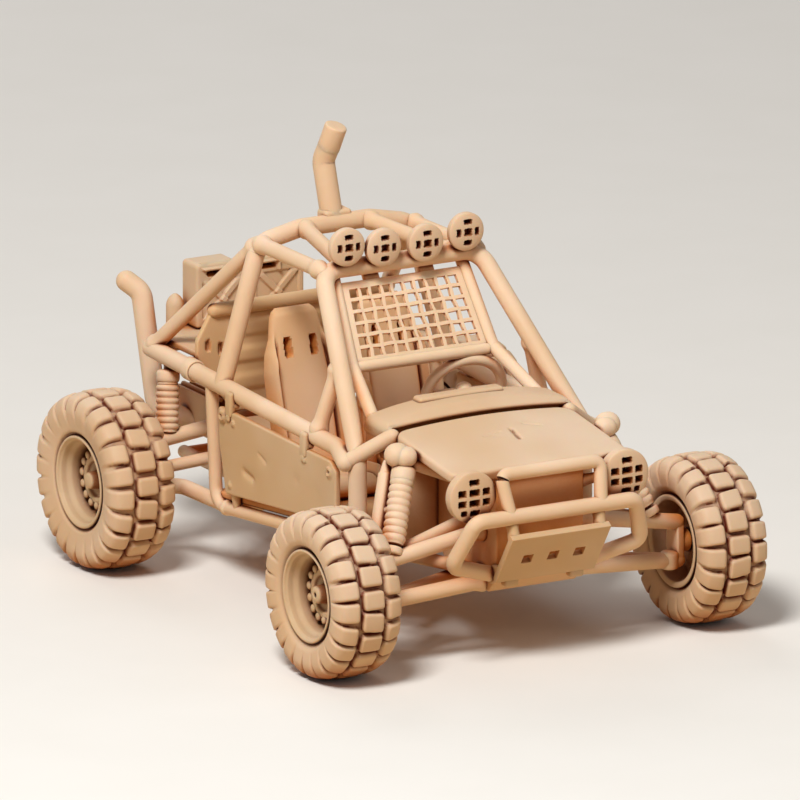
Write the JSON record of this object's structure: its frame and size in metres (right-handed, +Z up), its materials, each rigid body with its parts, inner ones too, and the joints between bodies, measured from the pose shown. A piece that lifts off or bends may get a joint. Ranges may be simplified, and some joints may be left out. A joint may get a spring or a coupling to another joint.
{
  "type": "scale model dune buggy",
  "caption": "Unpainted resin scale model of an off-road dune buggy: open tube frame, rolling lugged wheels, bucket seats, windscreen net, lamps and rear deck with fuel cans.",
  "frame": {"origin": "on the ground midway along and across the buggy, under its bounding box's centre", "axes": "+X towards the vehicle's left side, -Y towards its front, +Z up"},
  "size_m": [0.069, 0.0956, 0.0635],
  "materials": {
    "resin_body": "matte cast resin",
    "resin_tyre": "matte cast resin"
  },
  "bodies": {
    "chassis": {"bumper": "resin_body", "canister": "resin_body", "centre_stack": "resin_body", "cowl": "resin_body", "engine": "resin_body", "engine_cradle": "resin_body", "exhaust": "resin_body", "floor_pan": "resin_body", "front_arms_left": "resin_body", "front_arms_right": "resin_body", "front_box": "resin_body", "front_knuckle_left": "resin_body", "front_knuckle_right": "resin_body", "front_shock_left": "resin_body", "front_shock_right": "resin_body", "fuel_can_left": "resin_body", "fuel_can_right": "resin_body", "gear_lever": "resin_body", "gearbox": "resin_body", "half_shafts": "resin_body", "headlamp_left": "resin_body", "headlamp_right": "resin_body", "hood": "resin_body", "lower_cross_tubes": "resin_body", "main_hoop": "resin_body", "nudge_bar": "resin_body", "rear_arms_left": "resin_body", "rear_arms_right": "resin_body", "rear_bulkhead": "resin_body", "rear_deck": "resin_body", "rear_knuckle_left": "resin_body", "rear_knuckle_right": "resin_body", "rear_shock_left": "resin_body", "rear_shock_right": "resin_body", "rear_stays": "resin_body", "roof_lamps": "resin_body", "roof_tubes": "resin_body", "seat_left": "resin_body", "seat_right": "resin_body", "side_armour_left": "resin_body", "side_armour_right": "resin_body", "side_hoop_left": "resin_body", "side_hoop_right": "resin_body", "side_rail_left": "resin_body", "side_rail_right": "resin_body", "skid_plate": "resin_body", "steering_wheel": "resin_body", "upper_cross_tubes": "resin_body", "windscreen_hoop": "resin_body", "windscreen_net": "resin_body", "windscreen_struts": "resin_body"},
    "wheel_front_left": {"rim_front_left": "resin_body", "tyre_front_left": "resin_tyre"},
    "wheel_front_right": {"rim_front_right": "resin_body", "tyre_front_right": "resin_tyre"},
    "wheel_rear_left": {"rim_rear_left": "resin_body", "tyre_rear_left": "resin_tyre"},
    "wheel_rear_right": {"rim_rear_right": "resin_body", "tyre_rear_right": "resin_tyre"}
  },
  "joints": [
    {"name": "roll_front_left", "type": "hinge", "parent": "chassis", "child": "wheel_front_left", "pos_m": [0.0293, -0.03525, 0.012], "axis": [1, 0, 0], "continuous": true},
    {"name": "roll_front_right", "type": "hinge", "parent": "chassis", "child": "wheel_front_right", "pos_m": [-0.0293, -0.03525, 0.012], "axis": [1, 0, 0], "continuous": true},
    {"name": "roll_rear_left", "type": "hinge", "parent": "chassis", "child": "wheel_rear_left", "pos_m": [0.0293, 0.02999, 0.01274], "axis": [1, 0, 0], "continuous": true},
    {"name": "roll_rear_right", "type": "hinge", "parent": "chassis", "child": "wheel_rear_right", "pos_m": [-0.0293, 0.02999, 0.01274], "axis": [1, 0, 0], "continuous": true}
  ]
}
